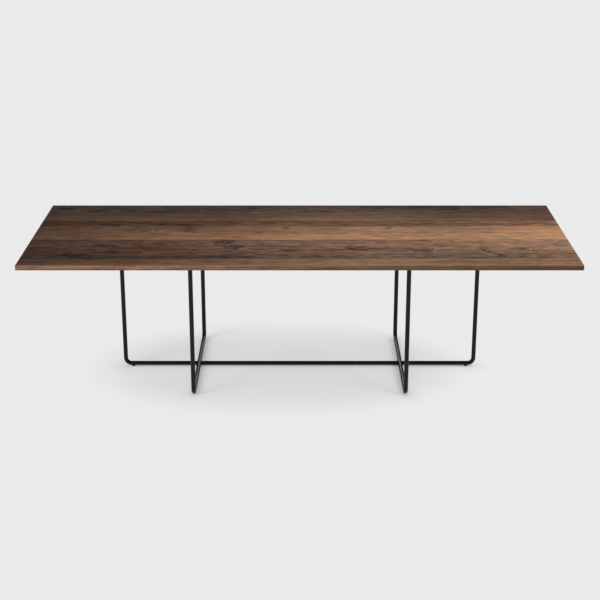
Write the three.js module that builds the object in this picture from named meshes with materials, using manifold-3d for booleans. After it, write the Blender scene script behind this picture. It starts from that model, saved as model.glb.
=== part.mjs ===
// Conference table: a top of six full-length boards on a base of bent steel tube.
// Millimetres, +Z up. The origin is on the floor under the middle of the top,
// +X runs along the top to the right and -Y faces the front.
import * as THREE from "three";
import { mergeVertices } from "three/addons/utils/BufferGeometryUtils.js";
import Module from "manifold-3d";

// Top: six boards side by side, from the back edge to the front edge
const TABLE_HEIGHT = 730;
const TOP_LENGTH = 2700;
const TOP_THICKNESS = 25;
const BOARD_WIDTHS = [156, 147, 99, 231, 312, 105];
const TOP_ARRIS = 1;
const UNDERSIDE_ARRIS = 4;

// Loose tongues that line up neighbouring boards, in stopped grooves
const TONGUE_WIDTH = 24;
const TONGUE_THICKNESS = 6;
const TONGUE_END_SETBACK = 60;

// Bent tube of the base
const TUBE_DIAMETER = 22;
const TUBE_WALL = 2;
const BEND_RADIUS = 30;
const END_LEG_INSET = 433.3;
const END_LEG_TO_CROSS_FRAME = 385.9;
const CROSS_LEG_INSET = 127;

// Flat steel rails on the leg tops, screwed up into the boards through slots
const RAIL_WIDTH = 50;
const RAIL_THICKNESS = 6;
const RAIL_END_SETBACK = 30;
const SCREWED_BOARDS = [0, 2, 4, 5];
const SCREW_SHANK_DIAMETER = 5;
const SCREW_HEAD_DIAMETER = 10;
const SCREW_HEAD_HEIGHT = 3.6;
const SCREW_HEAD_ROUND = 1.6;
const SCREW_POINT_LENGTH = 5;
const SCREW_COVER = 8;
const SLOT_MOVEMENT = 6;

// Knock-down joints where the long floor bar meets the cross frames
const SPIGOT_DIAMETER = 12;
const SPIGOT_REACH = 35;
const SLEEVE_SPARE_LENGTH = 5;
const GRUB_SCREW_DIAMETER = 6;
const GRUB_SCREW_RECESS = 0.4;

// Screw-in levelling glides
const GLIDE_PAD_DIAMETER = 18;
const GLIDE_PAD_HEIGHT = 3.7;
const GLIDE_PAD_CHAMFER = 0.8;
const GLIDE_STUD_DIAMETER = 6;
const GLIDE_STUD_SEAT = 1.9;
const GLIDE_STUD_HEADROOM = 4;
const GLIDE_BUSH_DIAMETER = 10;
const GLIDE_BUSH_LENGTH = 10;
const GLIDE_PAST_BEND = 10;

// Clearances
const FIT_GAP = 0.3;
const PILOT_TIP_GAP = 0.5;
const CUT_SPARE = 5;

// Facets
const TUBE_SIDES = 16;
const SMALL_SIDES = 12;
const BEND_STEPS = 6;
const ARRIS_STEPS = 2;

// Places worked out from the sizes above
const sum = (values) => values.reduce((total, value) => total + value, 0);
const topWidth = sum(BOARD_WIDTHS);
const topUnderside = TABLE_HEIGHT - TOP_THICKNESS;
const railUnderside = topUnderside - RAIL_THICKNESS;
const tubeRadius = TUBE_DIAMETER / 2;
const boreRadius = tubeRadius - TUBE_WALL;
const tubeBottom = GLIDE_PAD_HEIGHT + FIT_GAP;
const barAxis = tubeBottom + tubeRadius;
const endLegX = TOP_LENGTH / 2 - END_LEG_INSET;
const crossFrameX = endLegX - END_LEG_TO_CROSS_FRAME;
const crossLegY = topWidth / 2 - CROSS_LEG_INSET;
const glideInset = BEND_RADIUS + GLIDE_PAST_BEND;
const spigotLength = TUBE_DIAMETER + 2 * SPIGOT_REACH;
const grubScrewOffset = tubeRadius + SPIGOT_REACH / 2;
const boardBacks = BOARD_WIDTHS.map((_, index) => topWidth / 2 - sum(BOARD_WIDTHS.slice(0, index)));
const boardCentres = BOARD_WIDTHS.map((width, index) => boardBacks[index] - width / 2);
const screwRows = SCREWED_BOARDS.map((index) => boardCentres[index]);
const jointLines = boardBacks.slice(1);
const SIDES = [
  { name: "left", sign: -1 },
  { name: "right", sign: 1 },
];
const railPlaces = SIDES.flatMap(({ name, sign }) => [
  { name: `end_rail_${name}`, x: sign * endLegX },
  { name: `cross_rail_${name}`, x: sign * crossFrameX },
]);

// Materials
const BOARD_COLOURS = [0x4f4139, 0x644d3e, 0x604637, 0x8f6c53, 0x6c5244, 0x7a5f4e];
const boardFinish = (colour) => new THREE.MeshStandardMaterial({ color: colour, roughness: 0.5, metalness: 0 });
const blackPaint = () => new THREE.MeshStandardMaterial({ color: 0x17181b, roughness: 0.42, metalness: 0 });
const zincSteel = () => new THREE.MeshStandardMaterial({ color: 0x9a9c9c, roughness: 0.38, metalness: 1 });
const blackSteel = () => new THREE.MeshStandardMaterial({ color: 0x2a2b2d, roughness: 0.45, metalness: 1 });
const blackPlastic = () => new THREE.MeshStandardMaterial({ color: 0x1c1c1d, roughness: 0.6, metalness: 0 });
const beechFinish = () => new THREE.MeshStandardMaterial({ color: 0xb98e62, roughness: 0.6, metalness: 0 });

// Joining and cutting of closed meshes
const wasm = await Module();
wasm.setup();

function solidOf(geometry) {
  const bare = geometry.clone();
  bare.deleteAttribute("normal");
  bare.deleteAttribute("uv");
  const merged = mergeVertices(bare);
  return new wasm.Manifold(
    new wasm.Mesh({
      numProp: 3,
      vertProperties: new Float32Array(merged.attributes.position.array),
      triVerts: new Uint32Array(merged.index.array),
    }),
  );
}

function geometryOf(solid) {
  const mesh = solid.getMesh();
  const geometry = new THREE.BufferGeometry();
  geometry.setAttribute("position", new THREE.BufferAttribute(mesh.vertProperties, 3));
  geometry.setIndex(new THREE.BufferAttribute(mesh.triVerts, 1));
  geometry.computeVertexNormals();
  return geometry;
}

function cutAway(geometry, cutters) {
  const cut = cutters.reduce((solid, cutter) => solid.subtract(solidOf(cutter)), solidOf(geometry));
  return geometryOf(cut);
}

// Basic shapes, placed by their lowest point or their centre
function boxBetween(low, high) {
  const size = new THREE.Vector3().subVectors(high, low);
  const centre = new THREE.Vector3().addVectors(low, high).multiplyScalar(0.5);
  return new THREE.BoxGeometry(size.x, size.y, size.z).translate(centre.x, centre.y, centre.z);
}

function uprightPin(diameter, low, high, x = 0, y = 0) {
  const pin = new THREE.CylinderGeometry(diameter / 2, diameter / 2, high - low, SMALL_SIDES);
  return pin.rotateX(Math.PI / 2).translate(x, y, (low + high) / 2);
}

function lengthwisePin(diameter, length, sides, x = 0) {
  const pin = new THREE.CylinderGeometry(diameter / 2, diameter / 2, length, sides);
  return pin.rotateZ(Math.PI / 2).translate(x, 0, barAxis);
}

function turned(profile) {
  const points = profile.map(([radius, height]) => new THREE.Vector2(radius, height));
  return new THREE.LatheGeometry(points, SMALL_SIDES).rotateX(Math.PI / 2);
}

function named(name, geometry, material) {
  const mesh = new THREE.Mesh(geometry, material);
  mesh.name = name;
  return mesh;
}

// Bent tube: equal steps along the path fall on its stations, so a straight run is one step
class BentPath extends THREE.Curve {
  constructor(corners, bendRadius) {
    super();
    const first = corners[0];
    const last = corners[corners.length - 1];
    const directions = corners.slice(1).map((corner, i) => corner.clone().sub(corners[i]).normalize());
    this.stations = [{ point: first, tangent: directions[0] }];
    for (let i = 1; i < corners.length - 1; i += 1) {
      this.addBend(corners[i], directions[i - 1], directions[i], bendRadius);
    }
    this.stations.push({ point: last, tangent: directions[directions.length - 1] });
  }

  // A right-angle bend, from one direction into the next
  addBend(corner, before, after, radius) {
    const centre = corner.clone().addScaledVector(before, -radius).addScaledVector(after, radius);
    for (let step = 0; step <= BEND_STEPS; step += 1) {
      const angle = ((step / BEND_STEPS) * Math.PI) / 2;
      const sine = Math.sin(angle);
      const cosine = Math.cos(angle);
      const point = centre.clone().addScaledVector(before, radius * sine).addScaledVector(after, -radius * cosine);
      const tangent = before.clone().multiplyScalar(cosine).addScaledVector(after, sine);
      this.stations.push({ point, tangent });
    }
  }

  stationAt(u) {
    return this.stations[Math.round(u * (this.stations.length - 1))];
  }

  getPointAt(u, target = new THREE.Vector3()) {
    return target.copy(this.stationAt(u).point);
  }

  getTangentAt(u, target = new THREE.Vector3()) {
    return target.copy(this.stationAt(u).tangent);
  }
}

function bentTube(corners) {
  const section = new THREE.Shape().absarc(0, 0, tubeRadius, 0, 2 * Math.PI);
  section.holes.push(new THREE.Path().absarc(0, 0, boreRadius, 0, 2 * Math.PI, true));
  const path = new BentPath(corners, BEND_RADIUS);
  return new THREE.ExtrudeGeometry(section, {
    extrudePath: path,
    steps: path.stations.length - 1,
    curveSegments: TUBE_SIDES / 2,
  });
}

// Top slab with eased edges all round, from which the boards are cut
function roundedSlab(low, high, arris) {
  const halfLength = TOP_LENGTH / 2;
  const halfWidth = topWidth / 2;
  const outline = new THREE.Shape([
    new THREE.Vector2(-halfLength, -halfWidth),
    new THREE.Vector2(halfLength, -halfWidth),
    new THREE.Vector2(halfLength, halfWidth),
    new THREE.Vector2(-halfLength, halfWidth),
  ]);
  const slab = new THREE.ExtrudeGeometry(outline, {
    depth: high - low - 2 * arris,
    bevelThickness: arris,
    bevelSize: arris,
    bevelOffset: -arris,
    bevelSegments: ARRIS_STEPS,
  });
  return slab.translate(0, 0, low + arris);
}

function topSlab() {
  const easedBelow = roundedSlab(topUnderside, TABLE_HEIGHT + UNDERSIDE_ARRIS, UNDERSIDE_ARRIS);
  const easedAbove = roundedSlab(topUnderside - TOP_ARRIS, TABLE_HEIGHT, TOP_ARRIS);
  return solidOf(easedBelow).intersect(solidOf(easedAbove));
}

// A tongue's box at a joint line, or its groove when given a gap
function tongueBox(jointY, gap) {
  const halfLength = TOP_LENGTH / 2 - TONGUE_END_SETBACK + gap;
  const halfWidth = TONGUE_WIDTH / 2 + gap;
  const halfHeight = TONGUE_THICKNESS / 2 + gap;
  const middle = topUnderside + TOP_THICKNESS / 2;
  return boxBetween(
    new THREE.Vector3(-halfLength, jointY - halfWidth, middle - halfHeight),
    new THREE.Vector3(halfLength, jointY + halfWidth, middle + halfHeight),
  );
}

function boardGeometry(slab, index) {
  const back = boardBacks[index];
  const front = back - BOARD_WIDTHS[index];
  const reach = TOP_LENGTH / 2 + CUT_SPARE;
  const strip = boxBetween(
    new THREE.Vector3(-reach, front, topUnderside - CUT_SPARE),
    new THREE.Vector3(reach, back, TABLE_HEIGHT + CUT_SPARE),
  );
  const grooves = jointLines
    .filter((jointY) => jointY === back || jointY === boardBacks[index + 1])
    .map((jointY) => tongueBox(jointY, FIT_GAP));
  const pilotDiameter = SCREW_SHANK_DIAMETER + 2 * FIT_GAP;
  const pilotTop = TABLE_HEIGHT - SCREW_COVER + PILOT_TIP_GAP;
  const pilots = railPlaces
    .filter(() => SCREWED_BOARDS.includes(index))
    .map(({ x }) => uprightPin(pilotDiameter, topUnderside - CUT_SPARE, pilotTop, x, boardCentres[index]));
  return cutAway(geometryOf(slab.intersect(solidOf(strip))), [...grooves, ...pilots]);
}

function makeTop() {
  const group = new THREE.Group();
  const slab = topSlab();
  BOARD_WIDTHS.forEach((_, index) => {
    const finish = boardFinish(BOARD_COLOURS[index]);
    group.add(named(`top_board_${index + 1}`, boardGeometry(slab, index), finish));
  });
  jointLines.forEach((jointY, index) => {
    group.add(named(`board_tongue_${index + 1}`, tongueBox(jointY, 0), beechFinish()));
  });
  return group;
}

// Rails with a slot for each screw, so that the boards can move across their width
function slotOutline(y) {
  const radius = SCREW_SHANK_DIAMETER / 2 + FIT_GAP;
  const half = SLOT_MOVEMENT / 2;
  const slot = new THREE.Path();
  slot.absarc(0, y + half, radius, 0, Math.PI);
  slot.absarc(0, y - half, radius, Math.PI, 2 * Math.PI);
  slot.closePath();
  return slot;
}

function railGeometry() {
  const halfWidth = RAIL_WIDTH / 2;
  const halfLength = topWidth / 2 - RAIL_END_SETBACK;
  const outline = new THREE.Shape([
    new THREE.Vector2(-halfWidth, -halfLength),
    new THREE.Vector2(halfWidth, -halfLength),
    new THREE.Vector2(halfWidth, halfLength),
    new THREE.Vector2(-halfWidth, halfLength),
  ]);
  outline.holes.push(...screwRows.map(slotOutline));
  const rail = new THREE.ExtrudeGeometry(outline, {
    depth: RAIL_THICKNESS,
    bevelEnabled: false,
    curveSegments: SMALL_SIDES / 4,
  });
  return rail.translate(0, 0, railUnderside);
}

function screwGeometry() {
  const shank = SCREW_SHANK_DIAMETER / 2;
  const head = SCREW_HEAD_DIAMETER / 2;
  const tip = TABLE_HEIGHT - SCREW_COVER;
  const headBottom = railUnderside - SCREW_HEAD_HEIGHT;
  return turned([
    [0, headBottom],
    [head - SCREW_HEAD_ROUND, headBottom],
    [head, headBottom + SCREW_HEAD_ROUND],
    [head, railUnderside],
    [shank, railUnderside],
    [shank, tip - SCREW_POINT_LENGTH],
    [0, tip],
  ]);
}

function makeRails() {
  const group = new THREE.Group();
  railPlaces.forEach(({ name, x }) => {
    const rail = new THREE.Group();
    rail.position.x = x;
    rail.add(named(name, railGeometry(), blackPaint()));
    screwRows.forEach((y, index) => {
      const screw = named(`${name}_screw_${index + 1}`, screwGeometry(), zincSteel());
      screw.position.y = y;
      rail.add(screw);
    });
    group.add(rail);
  });
  return group;
}

// Holes in the bars for the glide bushes, the spigots and the grub screws
const bushHole = (x, y) =>
  uprightPin(GLIDE_BUSH_DIAMETER + 2 * FIT_GAP, tubeBottom - CUT_SPARE, barAxis, x, y);
const grubHole = (x) =>
  uprightPin(GRUB_SCREW_DIAMETER + 2 * FIT_GAP, tubeBottom - CUT_SPARE, barAxis, x);

function crossFrameGeometry() {
  const tube = bentTube([
    new THREE.Vector3(0, crossLegY, railUnderside),
    new THREE.Vector3(0, crossLegY, barAxis),
    new THREE.Vector3(0, -crossLegY, barAxis),
    new THREE.Vector3(0, -crossLegY, railUnderside),
  ]);
  const spigotHole = lengthwisePin(SPIGOT_DIAMETER + 2 * FIT_GAP, TUBE_DIAMETER + CUT_SPARE, TUBE_SIDES);
  const glideY = crossLegY - glideInset;
  return cutAway(tube, [spigotHole, bushHole(0, glideY), bushHole(0, -glideY)]);
}

// A long bar's end at a cross frame: sleeve for the spigot, hollowed to fit round the cross tube.
// The bar runs from the cross frame in the direction of side, 1 for +X and -1 for -X.
function jointedEnd(bar, frameX, side) {
  const sleeveLength = tubeRadius + SPIGOT_REACH + SLEEVE_SPARE_LENGTH;
  const sleeve = lengthwisePin(TUBE_DIAMETER - TUBE_WALL, sleeveLength, TUBE_SIDES, frameX + (side * sleeveLength) / 2);
  const sleeved = geometryOf(solidOf(bar).add(solidOf(sleeve)));
  const saddle = new THREE.CylinderGeometry(
    tubeRadius + FIT_GAP,
    tubeRadius + FIT_GAP,
    2 * TUBE_DIAMETER,
    TUBE_SIDES,
  ).translate(frameX, 0, barAxis);
  const spigotBore = lengthwisePin(SPIGOT_DIAMETER + 2 * FIT_GAP, 2 * (sleeveLength + CUT_SPARE), TUBE_SIDES, frameX);
  return cutAway(sleeved, [saddle, spigotBore, grubHole(frameX + side * grubScrewOffset)]);
}

function endLegGeometry() {
  const tube = bentTube([
    new THREE.Vector3(endLegX, 0, railUnderside),
    new THREE.Vector3(endLegX, 0, barAxis),
    new THREE.Vector3(crossFrameX, 0, barAxis),
  ]);
  return cutAway(jointedEnd(tube, crossFrameX, 1), [bushHole(endLegX - glideInset, 0)]);
}

function stretcherGeometry() {
  const tube = bentTube([
    new THREE.Vector3(-crossFrameX, 0, barAxis),
    new THREE.Vector3(crossFrameX, 0, barAxis),
  ]);
  return jointedEnd(jointedEnd(tube, -crossFrameX, 1), crossFrameX, -1);
}

function makeBase() {
  const group = new THREE.Group();
  SIDES.forEach(({ name, sign }) => {
    const frame = named(`cross_frame_${name}`, crossFrameGeometry(), blackPaint());
    frame.position.x = sign * crossFrameX;
    const leg = named(`end_leg_${name}`, endLegGeometry(), blackPaint());
    leg.rotation.z = sign > 0 ? 0 : Math.PI;
    const spigot = named(`spigot_${name}`, lengthwisePin(SPIGOT_DIAMETER, spigotLength, TUBE_SIDES), zincSteel());
    spigot.position.x = sign * crossFrameX;
    group.add(frame, leg, spigot);
    [-1, 1].forEach((end) => {
      const place = end === sign ? "outer" : "inner";
      const top = barAxis - SPIGOT_DIAMETER / 2 - FIT_GAP;
      const screw = uprightPin(GRUB_SCREW_DIAMETER, tubeBottom + GRUB_SCREW_RECESS, top);
      const grub = named(`grub_screw_${name}_${place}`, screw, blackSteel());
      grub.position.x = sign * crossFrameX + end * grubScrewOffset;
      group.add(grub);
    });
  });
  group.add(named("centre_stretcher", stretcherGeometry(), blackPaint()));
  return group;
}

// Levelling glide: a pad on a threaded stud that turns in a bush set in the tube's lower wall
function padGeometry() {
  const radius = GLIDE_PAD_DIAMETER / 2;
  const seat = GLIDE_STUD_DIAMETER / 2 + FIT_GAP;
  return turned([
    [0, 0],
    [radius - GLIDE_PAD_CHAMFER, 0],
    [radius, GLIDE_PAD_CHAMFER],
    [radius, GLIDE_PAD_HEIGHT - GLIDE_PAD_CHAMFER],
    [radius - GLIDE_PAD_CHAMFER, GLIDE_PAD_HEIGHT],
    [seat, GLIDE_PAD_HEIGHT],
    [seat, GLIDE_PAD_HEIGHT - GLIDE_STUD_SEAT],
    [0, GLIDE_PAD_HEIGHT - GLIDE_STUD_SEAT],
  ]);
}

function bushGeometry() {
  const outer = GLIDE_BUSH_DIAMETER / 2;
  const inner = GLIDE_STUD_DIAMETER / 2 + FIT_GAP;
  const top = tubeBottom + GLIDE_BUSH_LENGTH;
  return turned([
    [inner, tubeBottom],
    [outer, tubeBottom],
    [outer, top],
    [inner, top],
    [inner, tubeBottom],
  ]);
}

function makeGlide(name, x, y) {
  const glide = new THREE.Group();
  glide.position.set(x, y, 0);
  const studBottom = GLIDE_PAD_HEIGHT - GLIDE_STUD_SEAT + FIT_GAP;
  const studTop = tubeBottom + TUBE_DIAMETER - TUBE_WALL - GLIDE_STUD_HEADROOM;
  glide.add(named(`glide_pad_${name}`, padGeometry(), blackPlastic()));
  glide.add(named(`glide_stud_${name}`, uprightPin(GLIDE_STUD_DIAMETER, studBottom, studTop), zincSteel()));
  glide.add(named(`glide_bush_${name}`, bushGeometry(), zincSteel()));
  return glide;
}

function makeGlides() {
  const group = new THREE.Group();
  SIDES.forEach(({ name, sign }) => {
    const glideY = crossLegY - glideInset;
    group.add(makeGlide(`${name}_end`, sign * (endLegX - glideInset), 0));
    group.add(makeGlide(`${name}_back`, sign * crossFrameX, glideY));
    group.add(makeGlide(`${name}_front`, sign * crossFrameX, -glideY));
  });
  return group;
}

const table = new THREE.Group();
table.add(makeTop(), makeRails(), makeBase(), makeGlides());

export default table;
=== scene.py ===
"""Looks of a conference table: six dark wood boards on a base of bent black steel tube.

Everything is in metres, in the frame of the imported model: +X along the top, -Y to the front,
+Z up, with the origin on the floor under the middle of the top.
"""

import logging
import math
from dataclasses import dataclass, field
from enum import Enum
from typing import Iterable, Optional, Sequence, Union

import bmesh
import bpy
from mathutils import Matrix, Vector


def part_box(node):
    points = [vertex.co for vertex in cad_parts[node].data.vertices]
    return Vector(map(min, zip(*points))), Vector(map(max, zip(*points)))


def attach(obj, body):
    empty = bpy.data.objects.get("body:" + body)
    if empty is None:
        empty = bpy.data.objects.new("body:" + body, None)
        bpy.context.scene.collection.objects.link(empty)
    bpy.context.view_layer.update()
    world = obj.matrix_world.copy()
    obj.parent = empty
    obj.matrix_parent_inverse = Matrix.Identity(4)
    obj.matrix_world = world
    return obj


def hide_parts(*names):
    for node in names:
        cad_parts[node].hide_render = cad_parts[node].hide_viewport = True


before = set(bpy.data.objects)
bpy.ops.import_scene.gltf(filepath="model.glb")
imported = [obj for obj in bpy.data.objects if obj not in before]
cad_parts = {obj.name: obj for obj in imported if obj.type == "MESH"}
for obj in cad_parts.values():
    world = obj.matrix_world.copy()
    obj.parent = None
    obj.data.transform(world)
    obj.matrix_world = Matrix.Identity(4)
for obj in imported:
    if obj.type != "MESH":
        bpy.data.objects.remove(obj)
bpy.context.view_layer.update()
LOG = logging.getLogger("conference_table")

Socket = bpy.types.NodeSocket
Material = bpy.types.Material
Piece = bpy.types.Object
Mesh = bmesh.types.BMesh
Edge = bmesh.types.BMEdge
Number = Union[float, Socket]
Triple = tuple[float, float, float]
ORIGIN = (0.0, 0.0, 0.0)
MID_GREY = (0.5, 0.5, 0.5)
FRAME_BODY = "frame"
SAME_PLACE = 1e-6


class Side(Enum):
    """The two ends of the table, with the sign of their X."""

    LEFT = -1
    RIGHT = 1

    @property
    def word(self) -> str:
        """The side's name as the nodes spell it."""
        return self.name.lower()


class FootPlace(Enum):
    """Where a levelling glide stands on its side of the base."""

    END = "end"
    BACK = "back"
    FRONT = "front"


class RailKind(Enum):
    """The rails under the top: over an end leg or over a cross frame."""

    END = "end"
    CROSS = "cross"


class Lit(Enum):
    """What a lamp shines on."""

    ALL = "everything"
    TOP = "top"
    BASE = "base"
    FLOOR = "floor"


@dataclass(frozen=True)
class Pattern:
    """Smooth noise of a given grain.

    Attributes:
        cells: Cells per metre along X, Y and Z.
        detail: How many finer layers it has.
        start: The noise value at which its patches begin.
        full: The noise value at which they are whole.
        roughness: How strong the finer layers are.
        weight: How strongly it shows.
    """

    cells: Triple
    detail: float = 3.0
    start: float = 0.35
    full: float = 0.65
    roughness: float = 0.55
    weight: float = 1.0


class NodeGraph:
    """Shader nodes, added by short calls that return output sockets."""

    def __init__(self, tree: bpy.types.NodeTree, coordinates: str) -> None:
        """Empty a node tree.

        Args:
            tree: The tree.
            coordinates: Which coordinates its patterns read.
        """
        self.tree = tree
        self.tree.nodes.clear()
        self.place = self.add("ShaderNodeTexCoord").outputs[coordinates]

    def add(self, kind: str) -> bpy.types.Node:
        """Add a node of a kind."""
        return self.tree.nodes.new(kind)

    def feed(self, socket: Socket, value: object) -> None:
        """Link a socket to another one, or set its own value.

        Args:
            socket: The input to fill.
            value: An output socket, a number or a tuple.
        """
        if isinstance(value, Socket):
            self.tree.links.new(value, socket)
        else:
            socket.default_value = value

    def math(self, operation: str, first: Number, second: Number = 0.0) -> Socket:
        """One step of arithmetic on numbers.

        Args:
            operation: Blender's name of the operation.
            first: The first number or socket.
            second: The second number or socket.

        Returns:
            The result's socket.
        """
        node = self.add("ShaderNodeMath")
        node.operation = operation
        self.feed(node.inputs[0], first)
        self.feed(node.inputs[1], second)
        return node.outputs[0]

    def chain(self, operation: str, numbers: Sequence[Number]) -> Number:
        """One operation carried along several numbers.

        Args:
            operation: Blender's name of the operation.
            numbers: Numbers or sockets.

        Returns:
            The result's socket, or the number if there is only one.
        """
        result = numbers[0]
        for number in numbers[1:]:
            result = self.math(operation, result, number)
        return result

    def product(self, *factors: Number) -> Number:
        """Numbers multiplied."""
        return self.chain("MULTIPLY", factors)

    def total(self, *parts: Number) -> Number:
        """Numbers added."""
        return self.chain("ADD", parts)

    def largest(self, *numbers: Number) -> Number:
        """The largest of several numbers."""
        return self.chain("MAXIMUM", numbers)

    def vector_math(self, operation: str, first: object, second: object = ORIGIN) -> Socket:
        """One step of arithmetic on vectors.

        Args:
            operation: Blender's name of the operation.
            first: The first vector or socket.
            second: The second vector or socket.

        Returns:
            The result's socket, a number for LENGTH and a vector otherwise.
        """
        node = self.add("ShaderNodeVectorMath")
        node.operation = operation
        self.feed(node.inputs[0], first)
        self.feed(node.inputs[1], second)
        return node.outputs["Value" if operation == "LENGTH" else "Vector"]

    def stretched(self, scale: Triple, shift: Triple = ORIGIN, turn: float = 0.0) -> Socket:
        """The surface's place, stretched, turned about Z and moved.

        Args:
            scale: Factors along X, Y and Z.
            shift: What is added after the stretch.
            turn: Angle about Z in radians.

        Returns:
            The changed place's socket.
        """
        node = self.add("ShaderNodeMapping")
        self.feed(node.inputs["Vector"], self.place)
        node.inputs["Location"].default_value = shift
        node.inputs["Rotation"].default_value = (0.0, 0.0, turn)
        node.inputs["Scale"].default_value = scale
        return node.outputs[0]

    def noise(self, pattern: Pattern, shift: Triple = ORIGIN, turn: float = 0.0) -> bpy.types.Node:
        """A pattern's noise.

        Args:
            pattern: The pattern.
            shift: Seed of the noise.
            turn: Slant of the pattern about Z in radians.

        Returns:
            The noise node.
        """
        node = self.add("ShaderNodeTexNoise")
        self.feed(node.inputs["Vector"], self.stretched(pattern.cells, shift, turn))
        node.inputs["Scale"].default_value = 1.0
        node.inputs["Detail"].default_value = pattern.detail
        node.inputs["Roughness"].default_value = pattern.roughness
        return node

    def value(self, pattern: Pattern, shift: Triple = ORIGIN, turn: float = 0.0) -> Socket:
        """A pattern's noise as a number from 0 to 1 about 0.5."""
        return self.noise(pattern, shift, turn).outputs[0]

    def swing(self, pattern: Pattern, shift: Triple = ORIGIN) -> Socket:
        """A pattern's noise as a number about 0."""
        return self.math("SUBTRACT", self.value(pattern, shift), 0.5)

    def sway(self, pattern: Pattern, reach: Triple, shift: Triple = ORIGIN) -> Socket:
        """A pattern's noise as a vector about the origin.

        Args:
            pattern: The pattern.
            reach: How far it goes along X, Y and Z.
            shift: Seed of the noise.

        Returns:
            The vector's socket.
        """
        centred = self.vector_math("SUBTRACT", self.noise(pattern, shift).outputs["Color"], MID_GREY)
        return self.vector_math("MULTIPLY", centred, reach)

    def remap(
        self, value: Number, low: float, high: float, start: Number, end: Number, smooth: bool = True
    ) -> Socket:
        """A number from one range to another, held at the ends.

        Args:
            value: The number or socket.
            low: The value that gives start.
            high: The value that gives end.
            start: The first end of the new range.
            end: The other end of the new range.
            smooth: Whether the change eases in and out.

        Returns:
            The new number's socket.
        """
        node = self.add("ShaderNodeMapRange")
        node.interpolation_type = "SMOOTHSTEP" if smooth else "LINEAR"
        for socket, number in zip(node.inputs, (value, low, high, start, end)):
            self.feed(socket, number)
        return node.outputs[0]

    def patches(self, value: Socket, pattern: Pattern, outside: float = 0.0, inside: float = 1.0) -> Socket:
        """A pattern's noise cut into patches with soft edges.

        Args:
            value: The noise.
            pattern: The pattern, which says where its patches begin.
            outside: The number outside the patches.
            inside: The number inside them.

        Returns:
            The number's socket.
        """
        return self.remap(value, pattern.start, pattern.full, outside, inside)

    def ramp(self, factor: Socket, stops: Sequence[tuple[float, Triple]]) -> Socket:
        """A colour ramp.

        Args:
            factor: Where on the ramp, from 0 to 1.
            stops: Positions with their colours.

        Returns:
            The colour's socket.
        """
        node = self.add("ShaderNodeValToRGB")
        elements = node.color_ramp.elements
        while len(elements) < len(stops):
            elements.new(0.5)
        for element, (position, colour) in zip(elements, stops):
            element.position = position
            element.color = (*colour, 1.0)
        self.feed(node.inputs[0], factor)
        return node.outputs[0]

    def mix(self, factor: Number, first: object, second: object, blend: str = "MIX") -> Socket:
        """Two colours mixed.

        Args:
            factor: How much of the second.
            first: A colour or socket.
            second: A colour or socket.
            blend: Blender's name of the way to mix.

        Returns:
            The mixed colour's socket.
        """
        node = self.add("ShaderNodeMix")
        node.data_type = "RGBA"
        node.blend_type = blend
        self.feed(node.inputs[0], factor)
        for socket, colour in ((node.inputs[6], first), (node.inputs[7], second)):
            self.feed(socket, colour if isinstance(colour, Socket) else (*colour, 1.0))
        return node.outputs[2]

    def grey(self, value: Socket) -> Socket:
        """A number as a grey colour.

        Args:
            value: The number, from 0 to 1.

        Returns:
            The colour's socket.
        """
        node = self.add("ShaderNodeCombineColor")
        for socket in node.inputs:
            self.feed(socket, value)
        return node.outputs[0]

    def split(self, vector: Socket) -> tuple[Socket, Socket, Socket]:
        """A vector's three numbers.

        Args:
            vector: The vector.

        Returns:
            The sockets of X, Y and Z.
        """
        node = self.add("ShaderNodeSeparateXYZ")
        self.feed(node.inputs[0], vector)
        return node.outputs[0], node.outputs[1], node.outputs[2]


class SurfaceGraph(NodeGraph):
    """A material's nodes, round one principled shader."""

    def __init__(self, name: str) -> None:
        """Start a material.

        Args:
            name: The material's name.
        """
        self.material = bpy.data.materials.new(name)
        self.material.use_nodes = True
        super().__init__(self.material.node_tree, "Object")
        self.shader = self.add("ShaderNodeBsdfPrincipled")
        self.feed(self.add("ShaderNodeOutputMaterial").inputs["Surface"], self.shader.outputs[0])

    def bump(self, height: Socket, depth: float, strength: float) -> None:
        """Give the shader a relief.

        Args:
            height: The relief's height from 0 to 1.
            depth: How deep it is, in metres.
            strength: How much of it shows.
        """
        node = self.add("ShaderNodeBump")
        node.inputs["Strength"].default_value = strength
        node.inputs["Distance"].default_value = depth
        self.feed(node.inputs["Height"], height)
        self.feed(self.shader.inputs["Normal"], node.outputs[0])

    def surface(self, **values: object) -> None:
        """Fill the shader's sockets, named with _ for a space."""
        for name, value in values.items():
            self.feed(self.shader.inputs[name.replace("_", " ")], value)


# Patterns of the wood
WIDE_STREAKS = Pattern((0.4, 9.0, 9.0), 2.0, weight=1.1)
NARROW_STREAKS = Pattern((1.0, 36.0, 36.0), 4.0, weight=1.5)
BROAD_DASHES = Pattern((2.5, 60.0, 60.0), 4.0, weight=0.8)
DASHES = Pattern((10.0, 85.0, 85.0), 4.0, weight=1.5)
SHORT_DASHES = Pattern((18.0, 220.0, 220.0), weight=3.0)
RIPPLES = Pattern((13.0, 46.0, 46.0), 5.0, weight=2.0)
FIBRES = Pattern((3.2, 120.0, 120.0))
HAIRS = Pattern((7.0, 560.0, 560.0), 2.0, 0.44, 0.56, weight=0.7)
GRAIN_LINES = Pattern((3.0, 400.0, 400.0), 2.0, 0.56, 0.62, weight=0.3)
VEINS = Pattern((0.8, 26.0, 26.0), weight=0.3)
PORES = Pattern((55.0, 1300.0, 1300.0), 1.0, 0.6, 0.72, weight=0.35)
FLECKS = Pattern((24.0, 170.0, 170.0), 3.0, 0.62, 0.68)
RING_SWAY = Pattern((0.9, 5.0, 5.0), 2.0)
RING_JITTER = Pattern((2.0, 45.0, 45.0))
RING_STRENGTH = Pattern((1.3, 9.0, 9.0))
COLOUR_DRIFT = Pattern((0.9, 7.0, 7.0), 2.0)
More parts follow.
